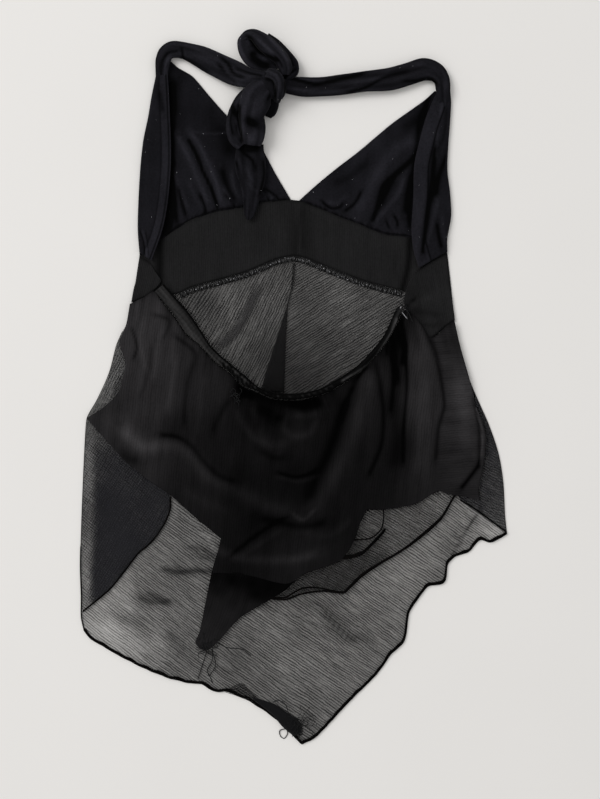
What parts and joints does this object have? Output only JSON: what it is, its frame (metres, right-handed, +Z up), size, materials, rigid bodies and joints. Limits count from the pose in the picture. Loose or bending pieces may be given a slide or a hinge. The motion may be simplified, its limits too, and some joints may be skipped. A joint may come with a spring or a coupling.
{
  "type": "halter neck top",
  "caption": "Backless halter neck top with gathered cups, underbust band, bow-tied neck straps and layered sheer skirt, laid flat with its back side up.",
  "frame": {"origin": "middle of the garment's footprint, on the surface it lies on", "axes": "+Y from the hem to the neck, +Z up from the surface through the layers, +X to the right as seen from above with the back side up"},
  "size_m": [0.4591, 0.7696, 0.0279],
  "materials": {
    "sheer_chiffon": "sheer crinkle chiffon, single layer",
    "layered_chiffon": "several layers of soft chiffon, opaque",
    "crepe_band": "crinkled woven, matt",
    "elastic_casing": "ruched, soft sheen",
    "jersey": "matt knit"
  },
  "bodies": {
    "root": {"front_skirt": "sheer_chiffon", "side_flap_left": "sheer_chiffon", "side_flap_right": "sheer_chiffon", "back_overlay": "sheer_chiffon", "back_skirt": "layered_chiffon", "lining_point": "layered_chiffon", "front_band": "crepe_band", "side_band_left": "crepe_band", "side_band_right": "crepe_band", "elastic_casing": "elastic_casing", "cup_left": "jersey", "cup_right": "jersey", "neck_tie_left": "jersey", "neck_tie_right": "jersey", "bow_loop_upper": "jersey", "bow_loop_lower": "jersey", "bow_tail": "jersey", "bow_end_short": "jersey", "bow_knot": "jersey"}
  },
  "joints": []
}
